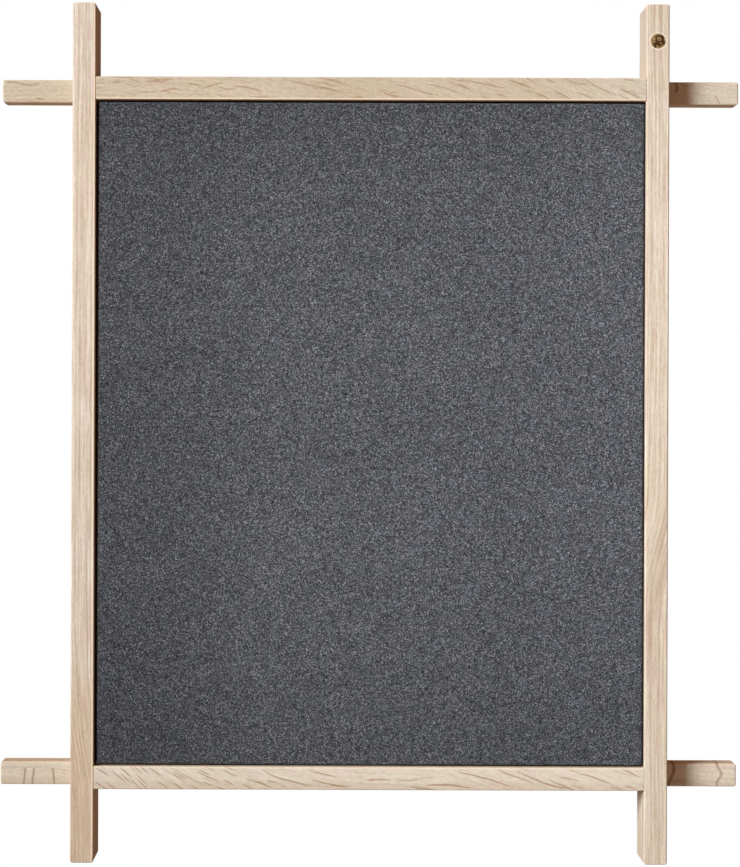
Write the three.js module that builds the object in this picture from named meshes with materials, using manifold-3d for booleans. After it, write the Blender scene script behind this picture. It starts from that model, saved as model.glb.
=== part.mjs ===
// A pin board for a wall: two oak stiles and two oak rails cross near their ends, and a fabric pad fills the opening.
// Millimetres. X runs to the right as seen from the front, Z up, and the front faces -Y.
// The wall is the plane Y = 0. The origin lies on it, midway between the two screws that the board hangs on.

import * as THREE from "three";
import { mergeVertices } from "three/addons/utils/BufferGeometryUtils.js";
import Module from "manifold-3d";

const wasm = await Module();
wasm.setup();

// Bars
const STILE_LENGTH = 630;
const RAIL_LENGTH = 545;
const BAR_FACE = 17;
const BAR_DEPTH = 32;
const OVERHANG = 54;
const ARRIS_RADIUS = 1;
const END_CORNER_RADIUS = 2;
const END_BACK_RADIUS = 3.5;

// Half-lap joints: the rail keeps this share of the depth at the back, and the stile the rest at the front
const LAP_DEPTH_SHARE = 0.45;
const LAP_CLEARANCE = 0.15;
const SHOULDER_CLEARANCE = 0.1;

// Pocket routed round the back of the frame, whose floor is the ledge that the backing board is screwed to
const LEDGE_WIDTH = 8;
const POCKET_CORNER_RADIUS = 8;

// Pad: soft board in a fabric cover that is turned over its edges, with play in the opening, low and to the right
const PAD_RECESS = 2;
const PAD_CLEARANCE = 1.2;
const PAD_SHIFT = 0.6;
const PAD_DROP = 0.2;
const PAD_EDGE_RADIUS = 1.6;
const FABRIC_THICKNESS = 1;
const FABRIC_CLEARANCE = 0.1;
const HEM_WIDTH = 28;
const CORE_THICKNESS = 10;

// Backing board
const BACKING_THICKNESS = 3;
const BACKING_CLEARANCE = 0.75;

// Keyhole hangers, let into the backs of the two upper stile ends
const HANGER_WIDTH = 12;
const HANGER_LENGTH = 38;
const HANGER_THICKNESS = 1.5;
const HANGER_CORNER_RADIUS = 3;
const HANGER_CLEARANCE = 0.2;
const HANGER_SINK = 0.2;
const HANGER_SCREW_SPACING = 29;
const KEYHOLE_ENTRY_RADIUS = 4.25;
const KEYHOLE_SLOT_RADIUS = 2.2;
const KEYHOLE_TRAVEL = 9;
const KEYHOLE_POCKET_RADIUS = 5;
const KEYHOLE_POCKET_DEPTH = 8;

// Countersunk screws: small ones hold the hangers and the backing board, and a stouter one each crossing
const SMALL_SHANK_RADIUS = 1.5;
const SMALL_HEAD_RADIUS = 2.8;
const LAP_SHANK_RADIUS = 1.75;
const LAP_HEAD_RADIUS = 3.4;
const HANGER_SCREW_LENGTH = 16;
const BACKING_SCREW_TIP_COVER = 5.3;
const LAP_SCREW_TIP_COVER = 5;
const LAP_SCREW_OFFSET = 1.6;
const SCREW_CLEARANCE = 0.15;
const SCREW_SINK = 0.15;
const SCREW_HEAD_RIM = 0.3;
const SCREW_TIP_LENGTH = 2.5;
const SCREW_END_ROOM = 0.5;
const DRIVE_DEPTH = 1.3;
const DRIVE_BLADE_WIDTH = 0.8;
const DRIVE_REACH_SHARE = 0.58;

// Screws of the backing board: how many stand on each side, and how far the outer ones stand from the opening's corners
const BACKING_SCREWS_ACROSS = 3;
const BACKING_SCREWS_UP = 3;
const BACKING_SCREW_SETBACK = 54;

// Plain brass disc let into the front of the right stile's upper end
const DISC_RADIUS = 5.25;
const DISC_THICKNESS = 1.8;
const DISC_PROUD = 0.3;
const DISC_BEVEL = 0.35;
const DISC_STEM_RADIUS = 1.5;
const DISC_STEM_LENGTH = 6;
const DISC_CLEARANCE = 0.15;

// How finely round forms are drawn, and how far a cutter runs past what it cuts
const CORNER_STEPS = 6;
const POCKET_CORNER_STEPS = 8;
const SCREW_SIDES = 16;
const DISC_SIDES = 48;
const OVERRUN = 1;

// Planes and centres that the pieces share
const frontY = -BAR_DEPTH;
const backY = 0;
const lapY = -BAR_DEPTH * LAP_DEPTH_SHARE;
const openingWidth = RAIL_LENGTH - 2 * (OVERHANG + BAR_FACE);
const openingHeight = STILE_LENGTH - 2 * (OVERHANG + BAR_FACE);
const pocketWidth = openingWidth + 2 * LEDGE_WIDTH;
const pocketHeight = openingHeight + 2 * LEDGE_WIDTH;
const stileX = (openingWidth + BAR_FACE) / 2;
const railZ = (openingHeight + BAR_FACE) / 2;
const hangerZ = -KEYHOLE_TRAVEL / 2;
const middleZ = hangerZ + OVERHANG / 2 - STILE_LENGTH / 2;

const padWidth = openingWidth - 2 * PAD_CLEARANCE;
const padHeight = openingHeight - 2 * PAD_CLEARANCE;
const padFrontY = frontY + PAD_RECESS;
const coreFrontY = padFrontY + FABRIC_THICKNESS + FABRIC_CLEARANCE;
const coreBackY = coreFrontY + CORE_THICKNESS;
const padBackY = coreBackY + FABRIC_CLEARANCE + FABRIC_THICKNESS;
const ledgeY = padBackY + FABRIC_CLEARANCE;
const backingBackY = ledgeY + BACKING_THICKNESS;
const hangerBackY = backY - HANGER_SINK;
const hangerFrontY = hangerBackY - HANGER_THICKNESS;

const HANGER_SCREW = { shank: SMALL_SHANK_RADIUS, head: SMALL_HEAD_RADIUS, length: HANGER_SCREW_LENGTH };
const BACKING_SCREW = {
  shank: SMALL_SHANK_RADIUS,
  head: SMALL_HEAD_RADIUS,
  length: backingBackY - frontY - BACKING_SCREW_TIP_COVER,
};
const LAP_SCREW = { shank: LAP_SHANK_RADIUS, head: LAP_HEAD_RADIUS, length: BAR_DEPTH - LAP_SCREW_TIP_COVER };

// Materials
const finish = (color, roughness, metalness = 0) => new THREE.MeshStandardMaterial({ color, roughness, metalness });
const oakOfStile = () => finish(0xd9c7b3, 0.6);
const oakOfRail = () => finish(0xcfbca3, 0.6);
const wool = () => finish(0x58595e, 0.95);
const softboard = () => finish(0xa98f6d, 0.95);
const hardboard = () => finish(0x7a5a3c, 0.8);
const zincSteel = () => finish(0xb4b6b8, 0.35, 1);
const brass = () => finish(0x8a6a38, 0.3, 1);

// Outlines

// Points on a circle, from an angle and over a sweep
function arc([cx, cy], radius, start, sweep, steps) {
  return Array.from({ length: steps + 1 }, (_, i) => {
    const angle = start + (steps > 0 ? (sweep * i) / steps : 0);
    return [cx + radius * Math.cos(angle), cy + radius * Math.sin(angle)];
  });
}

// A rectangle centred on the origin with rounded corners, whose radii start at the lower left and go on to the right
function easedRectangle(width, height, radii, steps = CORNER_STEPS) {
  const signs = [[-1, -1], [1, -1], [1, 1], [-1, 1]];
  return signs.flatMap(([sx, sy], corner) => {
    const radius = radii[corner];
    const centre = [sx * (width / 2 - radius), sy * (height / 2 - radius)];
    const quarter = Math.PI / 2;
    return arc(centre, radius, Math.PI + corner * quarter, quarter, radius > 0 ? steps : 0);
  });
}

// A slot that stands upright with round ends a given travel apart, the lower one as wide or wider
function slotOutline(footRadius, headRadius, travel) {
  const meet = Math.acos(Math.min(headRadius / footRadius, 1));
  const foot = arc([0, -travel / 2], footRadius, Math.PI - meet, Math.PI + 2 * meet, 2 * POCKET_CORNER_STEPS);
  return [...foot, ...arc([0, travel / 2], headRadius, 0, Math.PI, POCKET_CORNER_STEPS)];
}

// The cross of a screw's drive
function crossOutline(reach, half) {
  return [1, -1].flatMap((s) => [
    [s * half, s * half],
    [s * half, s * reach],
    [-s * half, s * reach],
    [-s * half, s * half],
    [-s * reach, s * half],
    [-s * reach, -s * half],
  ]);
}

// Solids

// A closed geometry as a solid that can be joined and cut
function solid(geometry) {
  geometry.deleteAttribute("normal");
  geometry.deleteAttribute("uv");
  const merged = mergeVertices(geometry);
  const vertProperties = merged.getAttribute("position").array;
  return new wasm.Manifold(new wasm.Mesh({ numProp: 3, vertProperties, triVerts: merged.getIndex().array }));
}

function prism(outline, low, high) {
  const shape = new THREE.Shape(outline.map(([u, v]) => new THREE.Vector2(u, v)));
  const geometry = new THREE.ExtrudeGeometry(shape, { depth: high - low, bevelEnabled: false });
  return geometry.translate(0, 0, low);
}

const [X, Y, Z] = [new THREE.Vector3(1, 0, 0), new THREE.Vector3(0, 1, 0), new THREE.Vector3(0, 0, 1)];
const turnedToX = new THREE.Matrix4().makeBasis(Y, Z, X);
const turnedToY = new THREE.Matrix4().makeBasis(X, Z, Y.clone().negate());

// An outline in Y and Z carried along X, one in X and Z along Y, and one in X and Y along Z
const alongX = (outline, low, high) => solid(prism(outline, low, high).applyMatrix4(turnedToX));
const alongY = (outline, low, high) => solid(prism(outline, -high, -low).applyMatrix4(turnedToY));
const alongZ = (outline, low, high) => solid(prism(outline, low, high));

// A profile of radius and Y, turned about the Y axis
const turned = (profile, sides) =>
  solid(new THREE.LatheGeometry(profile.map(([radius, y]) => new THREE.Vector2(radius, y)), sides));

const block = (size, centre) => solid(new THREE.BoxGeometry(...size).translate(...centre));

const cutAll = (body, cutters) => cutters.reduce((left, cutter) => left.subtract(cutter), body);

// A solid as a named mesh
function piece(name, body, material, place = [0, 0, 0]) {
  const { vertProperties, triVerts } = body.getMesh();
  const geometry = new THREE.BufferGeometry();
  geometry.setAttribute("position", new THREE.BufferAttribute(vertProperties, 3));
  geometry.setIndex(new THREE.BufferAttribute(triVerts, 1));
  geometry.computeVertexNormals();
  const mesh = new THREE.Mesh(geometry, material);
  mesh.name = name;
  mesh.position.set(...place);
  return mesh;
}

function groupOf(...children) {
  const group = new THREE.Group();
  group.add(...children);
  return group;
}

// Screws: each one and its hole stand at the point where its axis meets the surface, head towards +Y

// The room for a screw: shank hole, countersink, and a way in for the driver
function screwHole({ shank, head, length }) {
  const [shankRoom, headRoom] = [shank + SCREW_CLEARANCE, head + SCREW_CLEARANCE];
  const rimY = -SCREW_SINK - SCREW_HEAD_RIM;
  const coneY = rimY - headRoom + shankRoom;
  const endY = -SCREW_SINK - length - SCREW_END_ROOM;
  const profile = [[0, endY], [shankRoom, endY], [shankRoom, coneY], [headRoom, rimY], [headRoom, OVERRUN], [0, OVERRUN]];
  return turned(profile, SCREW_SIDES);
}

// A countersunk screw with a cross drive
function screw({ shank, head, length }) {
  const topY = -SCREW_SINK;
  const rimY = topY - SCREW_HEAD_RIM;
  const coneY = rimY - head + shank;
  const tipY = topY - length;
  const profile = [[0, tipY], [shank, tipY + SCREW_TIP_LENGTH], [shank, coneY], [head, rimY], [head, topY], [0, topY]];
  const cross = crossOutline(head * DRIVE_REACH_SHARE, DRIVE_BLADE_WIDTH / 2);
  return turned(profile, SCREW_SIDES).subtract(alongY(cross, topY - DRIVE_DEPTH, topY + OVERRUN));
}

// Bars

const faceRadii = Array(4).fill(END_CORNER_RADIUS);
const arrisRadii = Array(4).fill(ARRIS_RADIUS);

// An upright bar about X = 0 and Z = 0: its section, its side and its face, carried through each other
function stileBlank() {
  const [endZ, sideX] = [STILE_LENGTH / 2 + OVERRUN, BAR_FACE / 2 + OVERRUN];
  const sideRadii = [ARRIS_RADIUS, END_BACK_RADIUS, END_BACK_RADIUS, ARRIS_RADIUS];
  const section = alongZ(easedRectangle(BAR_FACE, BAR_DEPTH, arrisRadii), -endZ, endZ);
  const side = alongX(easedRectangle(BAR_DEPTH, STILE_LENGTH, sideRadii), -sideX, sideX);
  const face = alongY(easedRectangle(BAR_FACE, STILE_LENGTH, faceRadii), frontY - OVERRUN, backY + OVERRUN);
  return section.intersect(side).translate(0, (frontY + backY) / 2, 0).intersect(face);
}

// A rail about X = 0 and Z = 0: its back half runs past the stiles, and its front half stands between them
function railBlank() {
  const [endX, sideZ] = [RAIL_LENGTH / 2 + OVERRUN, BAR_FACE / 2 + OVERRUN];
  const planRadii = [ARRIS_RADIUS, ARRIS_RADIUS, END_BACK_RADIUS, END_BACK_RADIUS];
  const backDepth = backY - lapY;
  const section = alongX(easedRectangle(backDepth, BAR_FACE, arrisRadii), -endX, endX);
  const plan = alongZ(easedRectangle(RAIL_LENGTH, backDepth, planRadii), -sideZ, sideZ);
  const face = alongY(easedRectangle(RAIL_LENGTH, BAR_FACE, faceRadii), lapY - OVERRUN, backY + OVERRUN);
  const backHalf = section.intersect(plan).translate(0, (lapY + backY) / 2, 0).intersect(face);

  const shoulderX = openingWidth / 2 - SHOULDER_CLEARANCE;
  const rootY = lapY + 2 * ARRIS_RADIUS;
  const frontSection = easedRectangle(rootY - frontY, BAR_FACE, [ARRIS_RADIUS, 0, 0, ARRIS_RADIUS]);
  const frontHalf = alongX(frontSection, -shoulderX, shoulderX).translate(0, (rootY + frontY) / 2, 0);
  return backHalf.add(frontHalf);
}

// The notch at the back of a stile that a rail's back half lies in
function notch(z) {
  const depth = backY - lapY + OVERRUN;
  return block([BAR_FACE + 2 * OVERRUN, depth, BAR_FACE + 2 * LAP_CLEARANCE], [0, lapY + depth / 2, z]);
}

function pocket() {
  const outline = easedRectangle(pocketWidth, pocketHeight, Array(4).fill(POCKET_CORNER_RADIUS), POCKET_CORNER_STEPS);
  return alongY(outline, ledgeY, backY + OVERRUN).translate(0, 0, middleZ);
}

// Places of the screws

const sides = [-1, 1];
const ends = [1, -1];
const evenly = (count, reach) => Array.from({ length: count }, (_, i) => reach * (i / (count - 1) - 0.5));

// A crossing's screw stands a little outside the crossing's centre, clear of the pocket's round corner
const lapScrewPlace = (side, end) => [
  side * (stileX + LAP_SCREW_OFFSET),
  backY,
  middleZ + end * (railZ + LAP_SCREW_OFFSET),
];

// The backing board's screws stand on the middle of the ledge
const ledgeX = (openingWidth + LEDGE_WIDTH) / 2;
const ledgeZ = (openingHeight + LEDGE_WIDTH) / 2;
const reachAcross = openingWidth - 2 * BACKING_SCREW_SETBACK;
const reachUp = openingHeight - 2 * BACKING_SCREW_SETBACK;
const backingScrewPlaces = [
  ...ends.flatMap((end) => evenly(BACKING_SCREWS_ACROSS, reachAcross).map((x) => [x, end * ledgeZ])),
  ...sides.flatMap((side) => evenly(BACKING_SCREWS_UP, reachUp).map((z) => [side * ledgeX, z])),
].map(([x, z]) => [x, backingBackY, middleZ + z]);

const hangerScrewPlaces = sides.map((side) => [0, hangerBackY, (side * HANGER_SCREW_SPACING) / 2]);

const holesAt = (places, kind) => places.map((place) => screwHole(kind).translate(...place));
const lapHoles = holesAt(sides.flatMap((side) => ends.map((end) => lapScrewPlace(side, end))), LAP_SCREW);
const backingHoles = holesAt(backingScrewPlaces, BACKING_SCREW);
const frameCuts = [pocket(), ...lapHoles, ...backingHoles];

// Keyhole hangers, about the centre of their plate

// The plate has its keyhole's wide end below, and a countersunk hole above and below the keyhole
function hangerPlate() {
  const outline = easedRectangle(HANGER_WIDTH, HANGER_LENGTH, Array(4).fill(HANGER_CORNER_RADIUS));
  const keyhole = slotOutline(KEYHOLE_ENTRY_RADIUS, KEYHOLE_SLOT_RADIUS, KEYHOLE_TRAVEL);
  const opening = alongY(keyhole, hangerFrontY - OVERRUN, hangerBackY + OVERRUN);
  const plate = alongY(outline, hangerFrontY, hangerBackY);
  return cutAll(plate, [opening, ...holesAt(hangerScrewPlaces, HANGER_SCREW)]);
}

// What is cut from the stile for it: the plate's bed, the room for the wall screw's head, and two pilot holes
function hangerCuts() {
  const [width, length] = [HANGER_WIDTH + 2 * HANGER_CLEARANCE, HANGER_LENGTH + 2 * HANGER_CLEARANCE];
  const bedRadii = Array(4).fill(HANGER_CORNER_RADIUS + HANGER_CLEARANCE);
  const bed = alongY(easedRectangle(width, length, bedRadii), hangerFrontY, backY + OVERRUN);
  const headRoom = slotOutline(KEYHOLE_POCKET_RADIUS, KEYHOLE_POCKET_RADIUS, KEYHOLE_TRAVEL);
  const room = alongY(headRoom, hangerFrontY - KEYHOLE_POCKET_DEPTH, hangerFrontY + OVERRUN);
  return [bed, room, ...holesAt(hangerScrewPlaces, HANGER_SCREW)];
}

// Brass disc, its face towards -Y and standing a little proud of the stile

const discPlace = [stileX, frontY, hangerZ];
const discBackY = DISC_THICKNESS - DISC_PROUD;

function discWithStem() {
  const stemEndY = discBackY + DISC_STEM_LENGTH;
  const profile = [
    [0, -DISC_PROUD],
    [DISC_RADIUS - DISC_BEVEL, -DISC_PROUD],
    [DISC_RADIUS, DISC_BEVEL - DISC_PROUD],
    [DISC_RADIUS, discBackY],
    [DISC_STEM_RADIUS, discBackY],
    [DISC_STEM_RADIUS, stemEndY],
    [0, stemEndY],
  ];
  return turned(profile, DISC_SIDES);
}

function discSeat() {
  const [radius, stem] = [DISC_RADIUS + DISC_CLEARANCE, DISC_STEM_RADIUS + DISC_CLEARANCE];
  const endY = discBackY + DISC_STEM_LENGTH + DISC_CLEARANCE;
  return turned([[0, -OVERRUN], [radius, -OVERRUN], [radius, discBackY], [stem, discBackY], [stem, endY], [0, endY]], DISC_SIDES);
}

// Bars as they are in the joined frame

function stile(side) {
  const bar = cutAll(stileBlank(), [notch(railZ), notch(-railZ)]).translate(side * stileX, 0, middleZ);
  const hangerCutsHere = hangerCuts().map((cutter) => cutter.translate(side * stileX, 0, hangerZ));
  const discCuts = side > 0 ? [discSeat().translate(...discPlace)] : [];
  return cutAll(bar, [...frameCuts, ...hangerCutsHere, ...discCuts]);
}

const rail = (end) => cutAll(railBlank().translate(0, 0, middleZ + end * railZ), frameCuts);

// Pad, about X = 0 and Z = 0

// The fabric's space: front, four edges, and a hem turned on to the back of the soft board
function fabricCover() {
  const edge = PAD_EDGE_RADIUS;
  const depth = padBackY - padFrontY;
  const plan = alongZ(easedRectangle(padWidth, depth, [edge, edge, 0, 0]), -padHeight / 2, padHeight / 2);
  const side = alongX(easedRectangle(depth, padHeight, [edge, 0, 0, edge]), -padWidth / 2, padWidth / 2);
  const face = alongY(easedRectangle(padWidth, padHeight, Array(4).fill(edge)), padFrontY, padBackY);
  const outside = plan.intersect(side).translate(0, (padFrontY + padBackY) / 2, 0).intersect(face);

  const room = CORE_THICKNESS + 2 * FABRIC_CLEARANCE;
  const roomSize = [padWidth - 2 * FABRIC_THICKNESS, room, padHeight - 2 * FABRIC_THICKNESS];
  const openDepth = FABRIC_THICKNESS + 2 * OVERRUN;
  const openSize = [padWidth - 2 * HEM_WIDTH, openDepth, padHeight - 2 * HEM_WIDTH];
  return cutAll(outside, [
    block(roomSize, [0, padFrontY + FABRIC_THICKNESS + room / 2, 0]),
    block(openSize, [0, padBackY + OVERRUN - openDepth / 2, 0]),
  ]);
}

function softboardCore() {
  const inset = 2 * (FABRIC_THICKNESS + FABRIC_CLEARANCE);
  return block([padWidth - inset, CORE_THICKNESS, padHeight - inset], [0, (coreFrontY + coreBackY) / 2, 0]);
}

function backingBoard() {
  const [width, height] = [pocketWidth - 2 * BACKING_CLEARANCE, pocketHeight - 2 * BACKING_CLEARANCE];
  const outline = easedRectangle(width, height, Array(4).fill(POCKET_CORNER_RADIUS - BACKING_CLEARANCE));
  return cutAll(alongY(outline, ledgeY, backingBackY).translate(0, 0, middleZ), backingHoles);
}

// Assembly

const endNames = { 1: "top", "-1": "bottom" };
const sideNames = { 1: "right", "-1": "left" };

const frame = groupOf(
  ...sides.map((side) => piece(`${sideNames[side]}_stile`, stile(side), oakOfStile())),
  ...ends.map((end) => piece(`${endNames[end]}_rail`, rail(end), oakOfRail())),
  ...sides.flatMap((side) =>
    ends.map((end) => {
      const name = `lap_screw_${endNames[end]}_${sideNames[side]}`;
      return piece(name, screw(LAP_SCREW), zincSteel(), lapScrewPlace(side, end));
    }),
  ),
);

const pad = groupOf(
  piece("fabric_cover", fabricCover(), wool()),
  piece("softboard_core", softboardCore(), softboard()),
);
pad.position.set(PAD_SHIFT, 0, middleZ - PAD_DROP);

const backing = groupOf(
  piece("backing_board", backingBoard(), hardboard()),
  ...backingScrewPlaces.map((place, i) => {
    const name = `backing_screw_${String(i + 1).padStart(2, "0")}`;
    return piece(name, screw(BACKING_SCREW), zincSteel(), place);
  }),
);

const hangers = sides.map((side) => {
  const name = `${sideNames[side]}_hanger`;
  const levels = ["lower", "upper"];
  const hanger = groupOf(
    piece(`${name}_plate`, hangerPlate(), zincSteel()),
    ...hangerScrewPlaces.map((place, i) =>
      piece(`${name}_screw_${levels[i]}`, screw(HANGER_SCREW), zincSteel(), place),
    ),
  );
  hanger.position.set(side * stileX, 0, hangerZ);
  return hanger;
});

const pinBoard = groupOf(frame, pad, backing, ...hangers, piece("brass_disc", discWithStem(), brass(), discPlace));
pinBoard.name = "pin_board";

export default pinBoard;
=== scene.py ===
"""A pin board for a wall: oak bars that cross near their ends, round a pad of soft board under melange wool.

Metres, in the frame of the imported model: X to the right as seen from the front, Z up, the front faces -Y, and the
board hangs with its back on the plane Y = 0.
"""

import logging
import math
from dataclasses import dataclass
from enum import Enum
from typing import Callable, Optional, Sequence, Union

import bpy
import numpy as np
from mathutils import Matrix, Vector


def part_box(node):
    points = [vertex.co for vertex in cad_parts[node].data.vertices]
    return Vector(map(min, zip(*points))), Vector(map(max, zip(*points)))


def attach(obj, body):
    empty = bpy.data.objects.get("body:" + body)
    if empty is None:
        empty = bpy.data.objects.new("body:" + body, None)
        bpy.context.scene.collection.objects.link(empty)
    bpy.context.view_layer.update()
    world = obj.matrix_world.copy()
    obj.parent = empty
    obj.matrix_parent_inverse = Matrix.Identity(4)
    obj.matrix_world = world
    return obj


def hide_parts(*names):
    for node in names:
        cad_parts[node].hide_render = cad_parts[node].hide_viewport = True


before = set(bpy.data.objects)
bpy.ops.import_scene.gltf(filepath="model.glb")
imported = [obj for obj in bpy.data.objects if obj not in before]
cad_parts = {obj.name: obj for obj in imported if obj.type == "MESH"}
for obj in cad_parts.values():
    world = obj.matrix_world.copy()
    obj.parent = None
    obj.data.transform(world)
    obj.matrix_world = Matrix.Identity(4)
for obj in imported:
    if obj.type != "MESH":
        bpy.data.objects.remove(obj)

LOG = logging.getLogger("pin_board")

Colour = tuple[float, float, float]
Point = tuple[float, float, float]
Pair = tuple[float, float]
Pairs = tuple[Pair, ...]


# Formulas on a surface

def by(operation: str, other_first: bool = False) -> Callable[..., "Field"]:
    """Makes a method of Field that works on the field, and on another number where the operation takes two.

    Args:
        operation: what the method does, as Blender names it.
        other_first: whether the other number comes before the field.

    Returns:
        The method.
    """
    def method(this: "Field", other: "Number" = 0.0) -> "Field":
        """What the operation makes of the two."""
        return this.recipe.maths(operation, *((other, this) if other_first else (this, other)))

    return method


@dataclass(frozen=True)
class Field:
    """A number that varies over a surface, as one output of a material's nodes. It takes part in sums and products
    as a plain number does. at_least gives the greater of it and another number, and at_most the lesser. sine takes
    it for an angle in radians, and root is its square root.

    recipe: the nodes that it belongs to
    socket: the output
    """

    recipe: "Nodes"
    socket: bpy.types.NodeSocket

    __add__, __radd__ = by("ADD"), by("ADD", True)
    __sub__, __rsub__ = by("SUBTRACT"), by("SUBTRACT", True)
    __mul__, __rmul__ = by("MULTIPLY"), by("MULTIPLY", True)
    __truediv__ = by("DIVIDE")
    at_least, at_most = by("MAXIMUM"), by("MINIMUM")
    __abs__, sine, root = by("ABSOLUTE"), by("SINE"), by("SQRT")

    def squared(self) -> "Field":
        """The field times itself."""
        return self * self

    def held(self) -> "Field":
        """The field, kept between 0 and 1."""
        return self.at_least(0.0).at_most(1.0)

    def rise(self, start: float, end: float) -> "Field":
        """A smooth step from 0 to 1.

        Args:
            start: the field's value where the step is 0.
            end: its value where the step is 1.

        Returns:
            The step as a field.
        """
        node = self.recipe.node("ShaderNodeMapRange", {0: self, 1: start, 2: end}, interpolation_type="SMOOTHSTEP")
        return Field(self.recipe, node.outputs[0])

    def fall(self, start: float, end: float) -> "Field":
        """A smooth step from 1 where the field is at start to 0 where it is at end."""
        return 1.0 - self.rise(start, end)


Number = Union[Field, float]


class Nodes:
    """The nodes of a material or of the world, for formulas.

    tree: where Blender keeps them
    """

    def __init__(self, owner: bpy.types.ID) -> None:
        """Turns the nodes on.

        Args:
            owner: the material or the world.
        """
        owner.use_nodes = True
        self.tree = owner.node_tree

    def node(self, kind: str, feeds: Optional[dict] = None, **settings: object) -> bpy.types.Node:
        """Adds a node.

        Args:
            kind: Blender's name for the kind of node.
            feeds: what its inputs get, by an input's name or number.
            settings: the node's own properties.

        Returns:
            The node.
        """
        made = self.tree.nodes.new(kind)
        for key, value in settings.items():
            setattr(made, key, value)
        for key, value in (feeds or {}).items():
            self.feed(made.inputs[key], value)
        return made

    def feed(self, socket: bpy.types.NodeSocket, value: object) -> None:
        """Gives an input its value.

        Args:
            socket: the input.
            value: a field, another node's output, a number, or a colour of three parts.
        """
        value = value.socket if isinstance(value, Field) else value
        if isinstance(value, bpy.types.NodeSocket):
            self.tree.links.new(value, socket)
        else:
            socket.default_value = (*value, 1.0) if isinstance(value, tuple) else value

    def maths(self, operation: str, first: Number, second: Number = 0.0) -> Field:
        """One sum on fields or numbers, named as Blender names it."""
        return Field(self, self.node("ShaderNodeMath", {0: first, 1: second}, operation=operation).outputs[0])

    def split(self, vector: bpy.types.NodeSocket) -> tuple[Field, ...]:
        """The three parts of a vector as fields."""
        return tuple(Field(self, part) for part in self.node("ShaderNodeSeparateXYZ", {0: vector}).outputs)

    def join(self, x: Number, y: Number, z: Number) -> bpy.types.NodeSocket:
        """A vector from three fields or numbers."""
        return self.node("ShaderNodeCombineXYZ", {0: x, 1: y, 2: z}).outputs[0]

    def noise(self, x: Number, y: Number, z: Number, detail: float = 1.0, distortion: float = 0.0) -> Field:
        """Smooth noise about 0.5 whose lumps are about one unit across.

        Args:
            x: the first coordinate, in lumps.
            y: the second coordinate.
            z: the third coordinate.
            detail: how many finer layers lie over the first.
            distortion: how far the lumps are stirred.

        Returns:
            The noise as a field from 0 to 1.
        """
        feeds = {"Scale": 1.0, "Detail": detail, "Distortion": distortion, "Vector": self.join(x, y, z)}
        return Field(self, self.node("ShaderNodeTexNoise", feeds).outputs["Fac"])

    def lots(self, scatter: bpy.types.Node) -> tuple[Field, Field]:
        """Two numbers from 0 to 1 that belong to the seed which a scatter of seeds finds."""
        parts = self.node("ShaderNodeSeparateColor", {0: scatter.outputs["Color"]}).outputs
        return Field(self, parts[0]), Field(self, parts[1])

    def cells(self, x: Number, y: Number, z: Number) -> tuple[Field, Field, Field]:
        """Scattered seeds, one in each unit cube: the distance to the nearest, and its two numbers."""
        scatter = self.node("ShaderNodeTexVoronoi", {"Scale": 1.0, "Vector": self.join(x, y, z)})
        return Field(self, scatter.outputs["Distance"]), *self.lots(scatter)

    def seeds(self, x: Number, y: Number) -> tuple[Field, Field, Field, Field]:
        """Seeds scattered in a plane, one in each unit square.

        Args:
            x: the first coordinate, in squares.
            y: the second coordinate.

        Returns:
            How far the point lies from the nearest seed in x and in y, and that seed's two numbers.
        """
        feeds = {"Scale": 1.0, "Randomness": 0.85, "Vector": self.join(x, y, 0.0)}
        scatter = self.node("ShaderNodeTexVoronoi", feeds, voronoi_dimensions="2D")
        at_x, at_y, _ = self.split(scatter.outputs["Position"])
        return x - at_x, y - at_y, *self.lots(scatter)

    def curve(self, value: Field, points: Pairs) -> Field:
        """A smooth curve through points, level past both ends.

        Args:
            value: the field to look up.
            points: pairs of a place and the result there, in order.

        Returns:
            The result as a field.
        """
        places, results = zip(*points)
        start, reach = places[0], places[-1] - places[0]
        low, span = min(results), max(max(results) - min(results), 1e-9)
        node = self.node("ShaderNodeFloatCurve", {"Value": (value - start) * (1.0 / reach)})
        line = node.mapping.curves[0].points
        scaled = [((place - start) / reach, (result - low) / span) for place, result in points]
        line[0].location, line[1].location = scaled[0], scaled[-1]
        for spot in scaled[1:-1]:
            line.new(*spot)
        node.mapping.update()
        return Field(self, node.outputs[0]) * span + low

    def ramp(self, value: Field, *stops: tuple[float, Colour]) -> bpy.types.NodeSocket:
        """A colour for each value.

        Args:
            value: the field to look up.
            stops: pairs of a value and its colour, in order.

        Returns:
            The colour's socket.
        """
        node = self.node("ShaderNodeValToRGB", {0: value})
        elements = node.color_ramp.elements
        while len(elements) < len(stops):
            elements.new(0.5)
        for element, (at, colour) in zip(elements, stops):
            element.position, element.color = at, (*colour, 1.0)
        return node.outputs[0]

    def tint(self, colour: object, amount: Number, other: object, how: str = "MIX") -> bpy.types.NodeSocket:
        """One colour laid over another.

        Args:
            colour: the colour below, as a socket or a plain colour.
            amount: how much of the other shows, from 0 to 1.
            other: the colour above.
            how: Blender's name for the way that they blend.

        Returns:
            The blend's socket.
        """
        feeds = {0: amount, 6: colour, 7: other}
        return self.node("ShaderNodeMix", feeds, data_type="RGBA", blend_type=how).outputs[2]


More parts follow.
